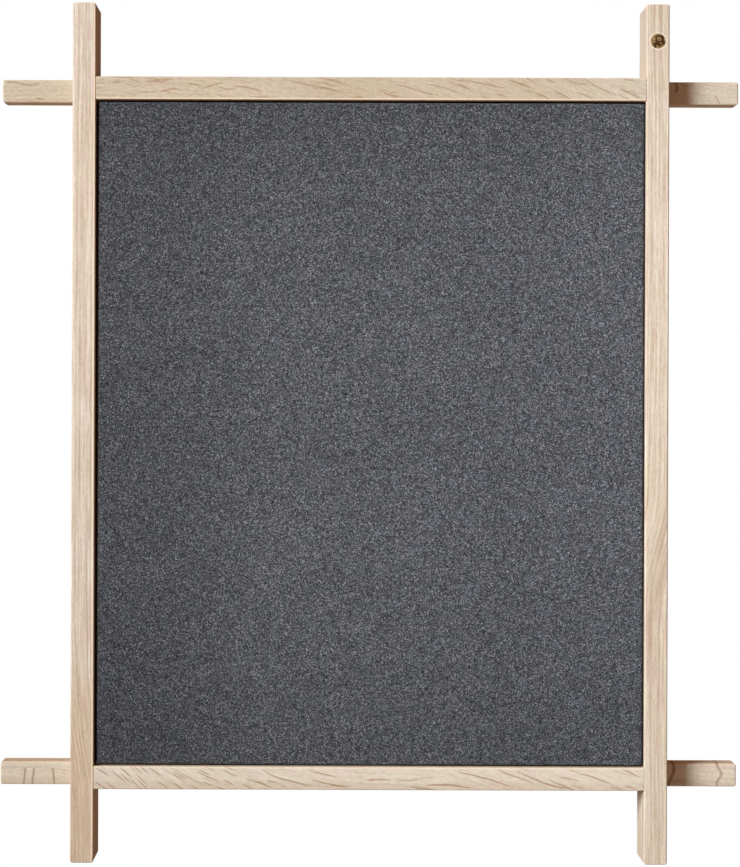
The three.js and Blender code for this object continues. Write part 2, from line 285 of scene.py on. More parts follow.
class Recipe(Nodes):
    """One material: its shader, and the formulas that feed it."""

    def __init__(self, name: str) -> None:
        """Makes the material, with nothing but its shader.

        Args:
            name: the material's name.
        """
        self.material = bpy.data.materials.new(name)
        super().__init__(self.material)
        self.tree.nodes.clear()
        self.shader = self.node("ShaderNodeBsdfPrincipled")
        self.node("ShaderNodeOutputMaterial", {0: self.shader.outputs[0]})

    def place(self) -> tuple[Field, ...]:
        """X, Y and Z of the point on the piece, metres."""
        return self.split(self.node("ShaderNodeTexCoord").outputs["Object"])

    def facing(self) -> tuple[Field, ...]:
        """X, Y and Z of the direction that the surface faces."""
        return self.split(self.node("ShaderNodeTexCoord").outputs["Normal"])

    def relief(self, height: Field, depth: float, strength: float) -> None:
        """Bump from a height field.

        Args:
            height: the field, 1 at its highest.
            depth: how far 1 stands out, metres.
            strength: how much of it the light sees.
        """
        bump = self.node("ShaderNodeBump", {"Strength": strength, "Distance": depth, "Height": height})
        self.feed(self.shader.inputs["Normal"], bump.outputs[0])

    def surface(self, colour: object, roughness: Number, **others: object) -> bpy.types.Material:
        """Feeds the shader.

        Args:
            colour: the base colour's socket or plain colour.
            roughness: a field or a number.
            others: what the shader's other inputs get, by their names with _ for a space.

        Returns:
            The finished material.
        """
        for key, value in {"Base_Color": colour, "Roughness": roughness, **others}.items():
            self.feed(self.shader.inputs[key.replace("_", " ")], value)
        return self.material


# Finishes

class Runs(Enum):
    """Which way a bar and its grain run."""

    UP = "up"
    ACROSS = "across"


@dataclass(frozen=True)
class Ways:
    """Where a point of a bar lies, as fields in metres.

    along: the way along the bar
    across: the way across it, from its middle
    drifted: the way across its grain, which drifts and wanders along the bar
    deep: Y, which grows into the bar
    """

    along: Field
    across: Field
    drifted: Field
    deep: Field


@dataclass(frozen=True)
class Rays:
    """The rays of quarter-sawn oak, which show on a bar's face as thin dark strokes.

    crowd: points of a place along the bar and the share of strokes that show there
    spread: points of a place along the bar and how many strokes lie before it, end to end
    apart: how far apart strokes are scattered across the grain, metres
    sway: how far a stroke wanders from a straight line
    ripple: how many such swings there are in a metre
    strength: how dark the darkest is, from 0 to 1
    thick: half the thickness of a stroke, metres
    slant: how far a stroke moves across the bar on its way in, as a share of that way
    edge: how wide the soft edge is, metres
    """

    crowd: Pairs
    spread: Pairs
    apart: float
    sway: float
    ripple: float
    strength: float
    thick: float = 0.00040
    slant: float = 0.4
    edge: float = 0.00034

    def drawn(self, oak: Recipe, ways: Ways, seed: float) -> Field:
        """Seeds are scattered in cells that are long along the grain and narrow across it. Each seed that shows has a
        stroke through it, as thick as 1 less the square of the way to its end, and cut into the bar at a slant.

        Args:
            oak: the bar's recipe.
            ways: where the point lies.
            seed: the bar's own number.

        Returns:
            A field that is 1 on a stroke and 0 off it.
        """
        wander = oak.noise(ways.along * self.ripple, ways.drifted * 160.0, ways.deep * 90.0 + seed) - 0.5
        swayed = (ways.drifted + wander * (2.0 * self.sway) + ways.deep * self.slant) / self.apart
        off_along, off_across, lot, other = oak.seeds(oak.curve(ways.along, self.spread) + seed, swayed)
        half_length = 0.26 + other * 0.24
        taper = (1.0 - (off_along / half_length).squared()).at_least(0.0)
        core = (taper * self.thick - abs(off_across) * self.apart) * (1.0 / self.edge) + 0.5
        shown = ((oak.curve(ways.along, self.crowd) - lot) * 5.0).held()
        return core.held() * taper.rise(0.0, 0.25) * shown


@dataclass(frozen=True)
class Mark:
    """One ray or streak that keeps its course.

    at: its place along the bar, metres
    swing: how far it swings to either side
    waves: how many waves it has in a metre
    turn: where in its wave it is at the bar's middle, radians
    width: how broad it is
    span: from where to where it runs, metres from the middle
    lengthwise: whether it follows the grain along the bar, so that at is its place across
    depth: how dark it is, from 0 to 1
    """

    at: float
    swing: float
    waves: float
    turn: float
    width: float = 0.0009
    span: Pair = (-0.0085, 0.0085)
    lengthwise: bool = False
    depth: float = 0.55

    def drawn(self, oak: Recipe, ways: Ways) -> Field:
        """The line along = place + swing times the sine of the way across, roughened, with a soft edge.

        Args:
            oak: the bar's recipe.
            ways: where the point lies.

        Returns:
            A field that is the mark's depth on it and 0 off it.
        """
        side = ways.drifted if self.lengthwise else ways.across
        to, fro = (side, ways.along) if self.lengthwise else (ways.along, side)
        swing = (fro * (self.waves * math.tau) + self.turn).sine() * self.swing
        rough = (oak.noise(ways.along * 500.0, side * 500.0, ways.deep * 500.0) - 0.5) * 0.0007
        off = abs(to - self.at - swing + rough)
        (low, high), fade = self.span, 0.0008
        line = off.fall(self.width * 0.35, self.width) * fro.rise(low - fade, low) * fro.fall(high, high + fade)
        return line * self.depth


@dataclass(frozen=True)
class Stroke:
    """One long ray that slants across a bar's face.

    start: its place along and across the bar where it begins, metres
    end: the same where it ends
    bow: how far its middle stands off the straight line between them
    twist: how far its first half swings to one side and its second half to the other
    thick: half its thickness
    depth: how dark it is, from 0 to 1
    edge: how wide its soft edge is
    """

    start: Pair
    end: Pair
    bow: float
    twist: float
    thick: float
    depth: float
    edge: float = 0.0004

    @classmethod
    def table(cls, *rows: tuple[float, ...]) -> tuple["Stroke", ...]:
        """Several strokes.

        Args:
            rows: start along, start across, end along, end across, bow, twist and thick of each, all in millimetres,
                and its depth.

        Returns:
            The strokes.
        """
        made = []
        for *lengths, depth in rows:
            low, at_low, high, at_high, *shape = (round(value / 1000.0, 8) for value in lengths)
            made.append(cls((low, at_low), (high, at_high), *shape, depth))
        return tuple(made)

    def drawn(self, along: Field, across: Field) -> Field:
        """The straight line between the stroke's ends, plus a half wave and a whole wave, with a soft edge. It thins
        out and fades towards both ends.

        Args:
            along: the way along the bar.
            across: the way across it.

        Returns:
            A field that is the stroke's depth on it and 0 off it.
        """
        (low, at_low), (high, at_high) = self.start, self.end
        way = (along - low) * (1.0 / (high - low))
        course = way * (at_high - at_low) + at_low + (way * math.pi).sine() * self.bow
        if self.twist:
            course = course + (way * math.tau).sine() * self.twist
        taper = (1.0 - (way * 2.0 - 1.0).squared()).at_least(0.0)
        core = ((taper * 0.6 + 0.4) * self.thick - abs(across - course)) * (1.0 / self.edge) + 0.5
        return core.held() * taper.rise(0.0, 0.35) * self.depth


# How many lines, pale and dark, the grain has in a metre, and its four finenesses: how many lumps each has across a
# line, in a metre of depth and in a metre along the bar, which slice of its noise the bar's front cuts through, and
# how many finer layers lie over it
FINE = 1.0 / 0.00135
BANDS_LINES_RINGS_HAIRS = (
    (0.30, 110.0, 5.0, -3.52, 0.0), (0.80, 420.0, 4.0, -0.20, 0.0),
    (1.0, 520.0, 24.0, 4.12, 0.0), (1.9, 900.0, 60.0, -9.60, 1.0))

# What lies over the grain: colours that it is multiplied by, and colours that cover it
STRAW, ROSY = (0.970, 1.0, 0.918), (1.0, 0.946, 0.957)
SHADED, SAWN_END = (0.80, 0.745, 0.69), (0.62, 0.50, 0.38)
PORE, RAY, STREAK = (0.40, 0.27, 0.18), (0.36, 0.225, 0.135), (0.34, 0.215, 0.13)
# The first is a painted highlight for the arrises beside the panel, the second a pale ring round the brass disc, and
# the third painted shade, partly grime, where the wood meets the disc's edge
HIGHLIGHT_PALE, PALE_RING, SHADE_AND_GRIME = (1.0, 0.86, 0.67), (1.0, 0.87, 0.70), (0.20, 0.12, 0.07)


@dataclass(frozen=True)
class Oak:
    """Pale oiled oak, as one bar was sawn from its plank.

    node: the bar's name
    runs: which way the bar runs
    middle: where its middle line is across it, metres
    inward: 1 if the panel lies on the side where the way across grows, or -1
    beside: from where to where along the bar the panel lies
    drift: points of a place along the bar and how far the grain has drifted across it by there
    light: colour of the palest wood
    dark: colour of the darkest
    aged: points of a place along the bar and how deep the tone is there, from 0 to 1
    lines: how strongly the long lines of the grain show
    flecks: how strongly its short flecks show
    worn: from where to where across the arris beside the panel a pale line of painted highlight lies, and how strong it
    is
    seed: a number that no other bar has
    deepened: what the deepest tone does to the colour
    side_shade: painted shade and light on the sides, as the colour that theirs is multiplied by
    firm: points of a place along the bar and how firm its long lines are there, or nothing where that is even
    ribs: distance from one even ring to the next, metres, or nothing
    ribbed: points of a place along the bar and how strongly the even rings show there
    shade_band: points of a place across the bar and how much painted shade lies there, from 0 to 1, or nothing
    rays: the rays that are scattered over the bar, or nothing where none shows
    strokes: long rays
    marks: other rays and streaks
    collar: X, Z and radius of a disc that has a pale ring round it and a line of painted shade and grime at its edge,
    or nothing
    """

    node: str
    runs: Runs
    middle: float
    inward: float
    beside: Pair
    drift: Pairs
    light: Colour
    dark: Colour
    aged: Pairs
    lines: float
    flecks: float
    worn: tuple[float, float, float]
    seed: float
    deepened: Colour = (0.80, 0.73, 0.645)
    side_shade: Colour = (0.70, 0.65, 0.635)
    firm: Pairs = ()
    ribs: Optional[float] = None
    ribbed: Pairs = ()
    shade_band: Pairs = ()
    rays: Optional[Rays] = None
    strokes: tuple[Stroke, ...] = ()
    marks: tuple[Mark, ...] = ()
    collar: Optional[tuple[float, float, float]] = None

    def material(self) -> bpy.types.Material:
        """The grain's tone picks a colour between dark and light. Streaks of two hues, pores, rays and a pale line of
        painted highlight on the arris beside the panel lie over it. The sides get painted shade, and the ends are a
        little deeper in colour.

        Returns:
            The bar's material.
        """
        oak = Recipe(f"oak_{self.node}")
        x, deep, z = oak.place()
        nx, ny, nz = oak.facing()
        upright = self.runs is Runs.UP
        along, across = (z, x) if upright else (x, z)
        side_shade, end = (abs(part).rise(0.55, 0.95) for part in ((nx, nz) if upright else (nz, nx)))
        across = across - self.middle
        ways = Ways(along, across, across + oak.curve(along, self.drift), deep)
        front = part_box(self.node)[0][1]

        grain, tone, rings, hairs = self.grained(oak, ways, deep - front)
        middle = tuple((a + b) / 2 for a, b in zip(self.light, self.dark))
        colour = oak.ramp(tone, (0.0, self.dark), (0.5, middle), (1.0, self.light))
        hue = oak.noise(grain * (FINE * 1.2), deep * 300.0 + 15.0, along * 70.0 + self.seed)
        colour = oak.tint(colour, 1.0, oak.ramp(hue, (0.34, STRAW), (0.66, ROSY)), "MULTIPLY")
        colour = oak.tint(colour, oak.curve(along, self.aged), self.deepened, "MULTIPLY")
        # Painted shade over part of the bar's width
        if self.shade_band:
            colour = oak.tint(colour, oak.curve(across, self.shade_band), SHADED, "MULTIPLY")
        spot, lot, _ = oak.cells(grain * 1300.0, deep * 1300.0, along * 190.0 + self.seed)
        pores = spot.fall(0.14, 0.40) * lot.rise(0.62, 0.72)
        colour = oak.tint(colour, pores * 0.24, PORE)
        height = hairs * 0.3 + rings * 0.2 - pores * 0.8

        if self.rays:
            scattered = self.rays.drawn(oak, ways, self.seed) * (1.0 - side_shade * 0.8)
            colour = oak.tint(colour, scattered * self.rays.strength, RAY)
            height = height - scattered * 0.2
        if self.strokes:
            wobbly = across + (oak.noise(along * 260.0, across * 260.0, deep * 260.0) - 0.5) * 0.0009
            drawn = self.strokes[0].drawn(along, wobbly)
            for stroke in self.strokes[1:]:
                drawn = drawn.at_least(stroke.drawn(along, wobbly))
            colour = oak.tint(colour, drawn, RAY)
            height = height - drawn * 0.3
        for mark in self.marks:
            colour = oak.tint(colour, mark.drawn(oak, ways), STREAK)

        # Painted highlight: a pale line along the arris beside the panel
        colour = oak.tint(colour, self.rubbed_and_highlit(ways, front), HIGHLIGHT_PALE)
        if self.collar:
            cx, cz, radius = self.collar
            off, rim = ((x - cx).squared() + (z - cz).squared()).root(), radius + 0.0003
            ring = off.rise(radius, rim) * off.fall(radius + 0.0005, radius + 0.0014)
            # A pale ring round the disc, and a line of painted shade and grime where the wood meets its edge
            colour = oak.tint(colour, ring * 0.9, PALE_RING)
            colour = oak.tint(colour, off.fall(radius, rim) * 0.8, SHADE_AND_GRIME)
        # Painted shade and light on the sides: their colour is multiplied by the bar's side colour
        colour = oak.tint(colour, side_shade, self.side_shade, "MULTIPLY")
        colour = oak.tint(colour, end * 0.4, SAWN_END, "MULTIPLY")
        oak.relief(height, 0.00010, 0.8)
        # Only the flat front shines a little: at a slant the sides would mirror the white around the board
        shine = ny.fall(-0.97, -0.90) * 0.08
        return oak.surface(colour, 0.62 + (hairs - 0.5) * 0.15 + pores * 0.2 + end * 0.12, Specular_IOR_Level=shine)

    def grained(self, oak: Recipe, ways: Ways, inside: Field) -> tuple[Field, Field, Field, Field]:
        """The tone is 0.5 plus noise that is stretched along the stirred grain, in bands, lines, rings, hairs and short
        flecks, and on the stiles plus a sine of the way across the grain, for even rings.

        Args:
            oak: the bar's recipe.
            ways: where the point lies.
            inside: how far it lies behind the bar's front.

        Returns:
            The way across the stirred grain, its tone from 0 to 1, and its rings and its hairs alone.
        """
        along, deep = ways.along, ways.deep
        stir = oak.noise(ways.drifted * 120.0, deep * 60.0 + self.seed, along * 26.0) - 0.5
        grain = ways.drifted + stir * 0.0013 + inside * 0.35
        bands, lines, rings, hairs = (
            oak.noise(grain * (FINE * crosswise), inside * inward + shift, along * lengthwise + self.seed, detail)
            for crosswise, inward, lengthwise, shift, detail in BANDS_LINES_RINGS_HAIRS)
        flecks = oak.noise(grain * (FINE * 1.2), deep * (FINE * 1.2), along * 330.0 + self.seed)
        tone = ((bands - 0.5) * (0.35 * self.lines) + (lines - 0.5) * (0.9 * self.lines)
                + (rings - 0.5) * (0.8 * self.lines))
        if self.firm:
            tone = tone * oak.curve(along, self.firm)
        tone = 0.5 + tone + (hairs - 0.5) * (0.9 * self.lines) + (flecks - 0.5) * self.flecks
        if self.ribs:
            slow = oak.noise(grain * 130.0, deep * 60.0, along * 14.0 + self.seed, detail=0.0)
            even = (grain * (math.tau / self.ribs) + slow * 5.0).sine()
            tone = tone + even * oak.curve(along, self.ribbed) * (slow * 1.6)
        return grain, tone, rings, hairs

    def rubbed_and_highlit(self, ways: Ways, front: float) -> Field:
        """The product of soft steps on both sides of the band of painted highlight, at its ends and behind the front.

        Args:
            ways: where the point lies.
            front: Y of the bar's front.

        Returns:
            A field of how strongly the arris beside the panel is painted pale as a highlight, and 0 off it.
        """
        side, (low, high), (inner, outer, amount) = ways.across * self.inward, self.beside, self.worn
        band = side.rise(inner - 0.0003, inner + 0.0002) * side.fall(outer - 0.0002, outer + 0.0003)
        shallow = ways.deep.fall(front + 0.0006, front + 0.0016)
        return band * shallow * ways.along.rise(low, low + 0.001) * ways.along.fall(high - 0.001, high) * amount


# Where the bars' middle lines lie, and how each bar was sawn. A Mark's numbers are its at, swing, waves, turn, width,
# span, lengthwise and depth.

STILE_X, TOP_Z, BOTTOM_Z = 0.210, -0.040, -0.545
BETWEEN_STILES = (-0.2015, 0.2015)

LEFT_STILE = Oak(
    "left_stile", Runs.UP, -STILE_X, 1.0, (-0.604, 0.02),
    drift=((-0.61, -0.0136), (-0.568, -0.013), (-0.54, -0.0102), (-0.5, -0.0045), (-0.45, -0.0006), (-0.4, 0.0),
           (-0.23, 0.0), (-0.093, -0.0009), (0.03, -0.0014)),
    light=(0.9, 0.822, 0.736), dark=(0.6, 0.483, 0.39), flecks=0.55, deepened=(0.83, 0.725, 0.6),
    aged=((-0.61, 0.78), (-0.55, 0.755), (-0.506, 0.72), (-0.462, 0.26), (-0.418, 0.18), (-0.38, 0.0),
          (-0.335, 0.09), (-0.29, 0.0), (-0.245, 0.17), (-0.155, 0.09), (-0.111, 0.24), (-0.067, 0.16),
          (-0.03, 0.02), (0.03, 0.0)),
    ribs=0.0022, ribbed=((-0.61, 0.04), (-0.555, 0.06), (-0.515, 0.14), (-0.45, 0.16), (-0.41, 0.05), (0.03, 0.02)),
    lines=1.12, firm=((-0.61, 0.45), (-0.56, 0.5), (-0.5, 0.7), (-0.45, 1.0), (0.03, 1.0)),
    worn=(0.007, 0.0088, 0.9),
    marks=(Mark(-0.0053, 0.0002, 5.0, 0.3, 0.0013, (-0.41, 0.02), True, 0.15),
           Mark(-0.0021, 0.0002, 6.0, 1.3, 0.001, (-0.4, 0.0), True, 0.08),
           Mark(0.0031, 0.0002, 7.0, 2.3, 0.0008, (-0.4, -0.14), True, 0.06),
           Mark(0.0056, 0.0002, 4.0, 3.3, 0.001, (-0.43, 0.02), True, 0.15)),
    seed=11.0)

RIGHT_STILE = Oak(
    "right_stile", Runs.UP, STILE_X, -1.0, (-0.5365, -0.0485),
    drift=((-0.61, 0.0165), (-0.45, 0.017), (-0.415, 0.016), (-0.397, 0.013), (-0.37, 0.0065),
           (-0.346, 0.0012), (-0.33, 0.0), (0.03, 0.0)),
    light=(0.9, 0.82, 0.719), dark=(0.6, 0.482, 0.381), flecks=0.55,
    aged=((-0.61, 0.34), (-0.587, 0.27), (-0.543, 0.07), (-0.5, 0.2), (-0.42, 0.28), (-0.367, 0.31),
          (-0.324, 0.22), (-0.28, 0.0), (-0.06, 0.02), (-0.025, 0.18), (0.03, 0.18)),
    ribs=0.00315, ribbed=((-0.61, 0.04), (-0.4, 0.07), (-0.34, 0.12), (0.03, 0.12)),
    worn=(0.0073, 0.0079, 0.35), side_shade=(0.73, 0.71, 0.71), lines=1.12,
    marks=(Mark(0.0181, 0.0002, 9.0, 0.3, 0.0013, (-0.61, -0.375), True, 0.24),
           Mark(0.0132, 0.0002, 9.0, 1.6, 0.0009, (-0.6, -0.372), True, 0.15),
           Mark(0.0156, 0.0002, 9.0, 0.9, 0.0008, (-0.415, -0.378), True, 0.17),
           Mark(0.0102, 0.0002, 9.0, 2.2, 0.0008, (-0.403, -0.358), True, 0.17),
           Mark(0.0071, 0.0002, 9.0, 3.1, 0.0008, (-0.392, -0.352), True, 0.14),
           Mark(0.021, 0.0002, 9.0, 2.6, 0.0008, (-0.6, -0.395), True, 0.1)),
    collar=(0.21, -0.0045, 0.00535), seed=23.0)

TOP_RAIL = Oak(
    "top_rail", Runs.ACROSS, TOP_Z, -1.0, BETWEEN_STILES,
    drift=((-0.28, 0.0), (-0.15, 0.001), (-0.08, 0.01), (0.02, 0.026), (0.1, 0.052), (0.2, 0.1),
           (0.222, 0.108), (0.28, 0.116)),
    light=(0.833, 0.771, 0.661), dark=(0.563, 0.478, 0.379), side_shade=(1.0, 0.9, 0.8),
    aged=((-0.28, 0.38), (-0.2, 0.56), (-0.13, 0.62), (-0.1, 0.6), (-0.065, 0.5), (-0.02, 0.78), (0.03, 0.6),
          (0.06, 0.54), (0.11, 0.61), (0.17, 0.2), (0.22, 0.06), (0.28, 0.0)),
    worn=(0.0071, 0.008, 0.68), lines=0.38, flecks=1.0, seed=37.0,
    rays=Rays(((-0.28, 0.12), (-0.22, 0.2), (-0.2, 0.48), (0.19, 0.42), (0.22, 0.15), (0.28, 0.1)),
              ((-0.28, 0.0), (0.28, 23.0)), apart=0.0042, sway=0.0028, ripple=95.0, strength=0.7),
    strokes=Stroke.table(
        (-166.6, 4.7, -144.3, 6.6, -0.6, 0.2, 0.66, 0.63),
        (-133.8, 1.9, -123.9, -0.8, 2.3, 0.0, 0.56, 0.55),
        (-124.5, -1.0, -107.6, 4.2, 0.5, 0.1, 0.6, 0.63),
        (-155.6, -2.8, -137.4, -2.6, 1.7, -0.5, 0.66, 0.6),
        (-169.5, -2.9, -156.3, -2.2, -0.4, 0.0, 0.56, 0.41),
        (-190.0, 4.2, -182.5, 4.3, -0.1, 0.0, 0.6, 0.57),
        (-176.8, 6.3, -167.9, 3.1, 0.4, 0.0, 0.56, 0.46),
        (-101.0, 1.6, -79.3, -2.6, 0.8, 0.1, 0.66, 0.6),
        (-77.0, 7.0, -70.4, 3.5, 1.1, 0.0, 0.56, 0.52),
        (-66.2, 7.0, -17.6, -3.6, 0.0, -0.1, 0.62, 0.57),
        (-32.3, 6.8, -17.6, 2.8, 0.0, 0.1, 0.6, 0.48),
        (16.4, 3.0, 50.8, -4.9, -0.1, 0.5, 0.62, 0.55),
        (42.4, 3.5, 68.8, -4.0, 0.4, 0.0, 0.59, 0.48),
        (62.1, 6.9, 100.8, 0.4, 0.2, 0.3, 0.62, 0.53),
        (91.4, -3.9, 101.7, -8.4, 1.2, 0.0, 0.62, 0.6),
        (99.8, 6.8, 116.7, 1.0, 0.0, 0.2, 0.66, 0.66),
        (120.0, -2.3, 131.8, -8.3, 0.4, -0.1, 0.66, 0.66),
        (128.1, 7.1, 134.7, 4.8, -0.1, 0.0, 0.64, 0.57),
        (134.7, -1.8, 146.9, -8.5, 0.7, 0.0, 0.66, 0.66),
        (144.1, 7.0, 159.1, 4.4, -1.4, 0.2, 0.62, 0.55),
        (149.6, -2.2, 163.7, -8.5, 1.1, -0.2, 0.62, 0.57),
        (160.7, 4.1, 180.6, -4.6, -0.5, 0.0, 0.62, 0.53),
        (181.8, 0.7, 198.3, -6.7, -0.1, -0.1, 0.62, 0.6)),
    marks=(Mark(0.2539, 0.006, 20.0, math.pi, span=(-0.0075, -0.0022)),
           Mark(0.2255, 0.0016, 60.0, 0.0, 0.0014, (0.001, 0.0075), depth=0.85),
           Mark(0.0052, 0.0013, 33.0, 0.4, span=(-0.269, -0.246), lengthwise=True),
           Mark(-0.0066, 0.0004, 60.0, 0.5, 0.001, (-0.2475, -0.2425), True, 0.6)))

BOTTOM_RAIL = Oak(
    "bottom_rail", Runs.ACROSS, BOTTOM_Z, 1.0, BETWEEN_STILES,
    drift=((-0.28, 0.0), (-0.219, 0.002), (-0.195, 0.012), (-0.15, 0.046), (-0.1, 0.072), (-0.02, 0.088),
           (0.04, 0.091), (0.09, 0.104), (0.16, 0.132), (0.2, 0.146), (0.222, 0.15), (0.28, 0.157)),
    light=(0.931, 0.859, 0.762), dark=(0.652, 0.565, 0.467), side_shade=(0.94, 0.84, 0.735),
    aged=((-0.28, 0.32), (-0.23, 0.28), (-0.2, 0.0), (-0.145, 0.0), (-0.11, 0.11), (-0.065, 0.08),
          (-0.02, 0.13), (0.03, 0.08), (0.066, 0.04), (0.11, 0.07), (0.154, 0.0), (0.2, 0.0), (0.23, 0.2),
          (0.28, 0.32)),
    worn=(0.0071, 0.008, 0.48), lines=0.46, flecks=0.85, seed=53.0,
    shade_band=((-0.0085, 0.55), (-0.0045, 0.5), (-0.001, 0.1), (0.0085, 0.0)),
    rays=Rays(((-0.28, 0.0), (-0.222, 0.0), (-0.2, 0.95), (-0.13, 0.86), (-0.09, 0.42), (0.19, 0.28),
               (0.22, 0.1), (0.28, 0.1)),
              ((-0.28, 0.0), (-0.08, 14.5), (0.02, 18.5), (0.28, 25.3)), apart=0.0046, thick=0.00058,
              sway=0.0012, ripple=60.0, strength=0.72),
    strokes=Stroke.table(
        (-143.6, 7.1, -117.4, -6.4, -0.7, -0.1, 0.5, 0.57),
        (-126.0, 5.3, -108.4, -3.2, -0.3, -0.1, 0.56, 0.63),
        (-106.3, 6.1, -96.4, 1.4, -0.4, 0.0, 0.56, 0.69),
        (-106.3, -1.3, -98.3, -5.4, 0.1, 0.0, 0.56, 0.69),
        (-93.1, -4.5, -84.1, -7.5, 0.0, 0.0, 0.56, 0.63),
        (-84.1, -2.2, -70.9, -7.2, 0.7, 0.1, 0.56, 0.75),
        (-79.5, 7.1, -42.3, -6.9, -1.2, -0.8, 0.56, 0.71),
        (-45.5, 6.3, -23.0, 1.0, 0.0, -0.1, 0.52, 0.57),
        (-43.2, -0.9, -17.3, -6.3, -0.2, 0.0, 0.56, 0.66),
        (18.2, -2.0, 49.6, 1.2, -0.1, -0.2, 0.56, 0.43),
        (39.9, -5.0, 76.1, -7.0, 1.5, 0.0, 0.64, 0.76),
        (63.9, 5.4, 107.7, -7.3, 1.3, -0.1, 0.6, 0.69),
        (106.7, 6.5, 147.7, -7.0, -2.1, 0.3, 0.69, 0.71),
        (140.7, 1.5, 154.8, -1.8, 0.2, -0.1, 0.62, 0.52),
        (148.7, -4.5, 158.0, -7.0, -0.2, 0.0, 0.56, 0.48),
        (155.2, 3.9, 177.9, -2.8, 0.1, 0.4, 0.6, 0.57),
        (177.0, -5.9, 186.1, -7.5, 0.1, 0.0, 0.56, 0.52),
        (185.0, 7.7, 199.7, 0.6, 0.5, 0.1, 0.62, 0.63),
        (187.2, -4.6, 196.5, -7.6, 0.1, 0.0, 0.62, 0.63)),
    marks=(Mark(0.0035, 0.0002, 20.0, 0.4, 0.0009, (-0.2725, -0.2185), True, 0.22),
           Mark(-0.2547, 0.0007, 24.0, 0.4, 0.0011, (-0.0085, 0.003), depth=0.66),
           Mark(-0.2482, 0.0007, 24.0, 0.2, 0.0011, (-0.0085, 0.003), depth=0.66),
           Mark(-0.2337, 0.0009, 26.0, 2.6, 0.0011, (-0.0085, 0.003), depth=0.66),
           Mark(0.2243, 0.0022, 34.0, 0.5, 0.0018, depth=0.85),
           Mark(0.26, 0.0016, 70.0, 1.2, 0.0016, depth=0.62)))


@dataclass(frozen=True)
class MelangeWool:
    """Fulled wool of dark and pale grey fibres.

    shade: colour of the cloth as a whole
    tuft: size of a spot of one shade, metres
    curl: how far apart the pale curly fibres lie, metres
    contrast: how far the spots differ
    painted_light_across: points of a place across the cloth and how bright its painted light is there
    painted_light_up: points of a place up the cloth and how bright its painted light is there
    painted_light_tilt: points of a place across the cloth and how much brighter its painted light is there at the top
    than halfway up
    """

    shade: Colour = (0.0942, 0.0998, 0.1125)
    tuft: float = 0.00066
    curl: float = 0.0021
    contrast: float = 1.52
    painted_light_across: Pairs = (
        (-0.20, 0.87), (-0.163, 0.885), (-0.130, 0.915), (-0.097, 0.99), (-0.07, 1.02), (-0.032, 1.005), (0.034, 1.0),
        (0.08, 0.965), (0.11, 0.955), (0.15, 0.985), (0.20, 0.995))
    painted_light_up: Pairs = (
        (-0.243, 0.79), (-0.207, 0.845), (-0.139, 0.925), (-0.07, 0.965), (0.0, 0.95), (0.066, 0.985), (0.135, 0.985),
        (0.225, 0.895), (0.238, 0.84), (0.243, 0.68))
    painted_light_tilt: Pairs = (
        (-0.20, 0.05), (-0.167, 0.025), (-0.10, -0.02), (-0.033, -0.055), (0.033, -0.015), (0.10, 0.0),
        (0.167, 0.05), (0.20, 0.055))

    def material(self) -> bpy.types.Material:
        """Each seed in a fine scatter has its own grey. Pale curly fibres are the level lines of two stirred noises.
        Painted light and shade are multiplied into its colour: it is darker towards the bottom, towards the left and
        along its top edge below the rail, and brighter higher up.

        Returns:
            The cloth's material, whose pattern follows the cloth's own flat measures.
        """
        wool = Recipe("melange_wool")
        u, v, _ = wool.split(wool.node("ShaderNodeUVMap", uv_map="cut").outputs[0])
        near, lot, other = wool.cells(u / self.tuft, v / self.tuft, 0.0)
        spots = lot * (0.10 + lot * 0.75) + lot.rise(0.88, 1.0) * 0.45
        fibres = self.level_lines(wool, u, v, 20.0).at_least(self.level_lines(wool, v, u, 50.0) * 0.8)
        drifts = wool.noise(u * 14.0, v * 30.0, 31.0, detail=2.0)
        mean_spot, mean_fibre, mean_tone = 0.327, 0.28, 0.42
        tone = (mean_tone + (spots - mean_spot) * (0.50 * self.contrast)
                + (fibres - mean_fibre) * (0.24 * self.contrast) + (drifts - 0.5) * 0.06)
        low, high = tuple(c * 0.14 for c in self.shade), tuple(c * 4.8 for c in self.shade)
        colour = wool.ramp(tone * 0.75, (0.0, low), (0.315, self.shade), (1.0, high))
        hue = wool.ramp(wool.noise(u * 75.0, v * 75.0, 60.0, detail=2.0), (0.40, (1.01, 0.982, 0.985)),
                        (0.60, (0.955, 1.0, 1.0)))
        # Painted light and shade: a slow darkening and brightening across and up the cloth
        painted_light = wool.curve(u, self.painted_light_across) * wool.curve(v, self.painted_light_up)
        half_height = 0.24
        painted_light = painted_light * (1.0 + wool.curve(u, self.painted_light_tilt) * v * (1.0 / half_height))
        colour = wool.tint(wool.tint(colour, 1.0, hue, "MULTIPLY"), 1.0, wool.join(painted_light, painted_light, painted_light), "MULTIPLY")
        wool.relief(fibres * 0.5 + (1.0 - near) * 0.5, 0.00018, 0.6)
        return wool.surface(colour, 0.95 - other * 0.05, Specular_IOR_Level=0.0, Diffuse_Roughness=1.0,
                            Sheen_Weight=0.03, Sheen_Roughness=0.5)

    def level_lines(self, wool: Recipe, u: Field, v: Field, layer: float) -> Field:
        """Where stirred noise passes its middle value.

        Args:
            wool: the cloth's recipe.
            u: the way across the cloth.
            v: the way up it.
            layer: which slice of the noise is taken.

        Returns:
            A field that is 1 on a fibre and 0 off it.
        """
        curl = wool.noise(u / self.curl, v / self.curl, layer, detail=1.5, distortion=1.2)
        return 1.0 - abs(curl - 0.5).rise(0.012, 0.075)


